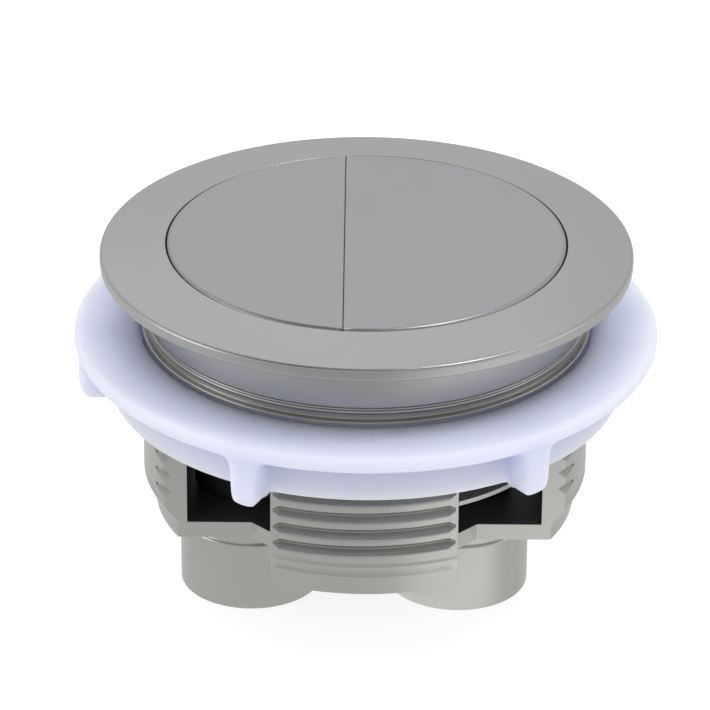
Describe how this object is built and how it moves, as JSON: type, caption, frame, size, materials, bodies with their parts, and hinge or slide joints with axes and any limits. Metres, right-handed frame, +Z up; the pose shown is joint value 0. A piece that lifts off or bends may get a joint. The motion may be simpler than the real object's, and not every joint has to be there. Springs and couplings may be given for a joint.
{
  "type": "cistern push button",
  "caption": "Round split push button for a cistern lid: sprung flush buttons in a flat bezel, a threaded sleeve with guide tubes for push rods, and a flanged lock nut.",
  "frame": {"origin": "on the bezel's axis, level with the bottoms of the guide tubes", "axes": "+Z up along the bezel's axis, towards the buttons; -Y is the front; the half-flush button is on the -X side"},
  "size_m": [0.0772, 0.0772, 0.0508],
  "materials": {
    "satin_nickel_plate": "satin nickel coating on moulded plastic",
    "white_nut_plastic": "bluish white, slightly translucent",
    "black_plastic": "plain black moulding",
    "spring_steel": "bright spring wire"
  },
  "bodies": {
    "housing": {"housing": "satin_nickel_plate", "half_flush_spring": "spring_steel", "full_flush_spring": "spring_steel"},
    "half_flush_button": {"half_flush_cap": "satin_nickel_plate", "half_flush_plunger": "black_plastic"},
    "full_flush_button": {"full_flush_cap": "satin_nickel_plate", "full_flush_plunger": "black_plastic"},
    "lock_nut": {"lock_nut": "white_nut_plastic"}
  },
  "joints": [
    {"name": "half_flush_press", "type": "slide", "parent": "housing", "child": "half_flush_button", "axis": [0, 0, -1], "range_m": [0, 0.006], "stiffness_N_per_m": 600, "springref_m": -0.004, "deforming": ["half_flush_spring"]},
    {"name": "full_flush_press", "type": "slide", "parent": "housing", "child": "full_flush_button", "axis": [0, 0, -1], "range_m": [0, 0.006], "stiffness_N_per_m": 600, "springref_m": -0.004, "deforming": ["full_flush_spring"]},
    {"name": "lock_nut_turn", "type": "hinge", "parent": "housing", "child": "lock_nut", "pos_m": [0, 0, 0.0389], "axis": [0, 0, 1], "continuous": true}
  ]
}
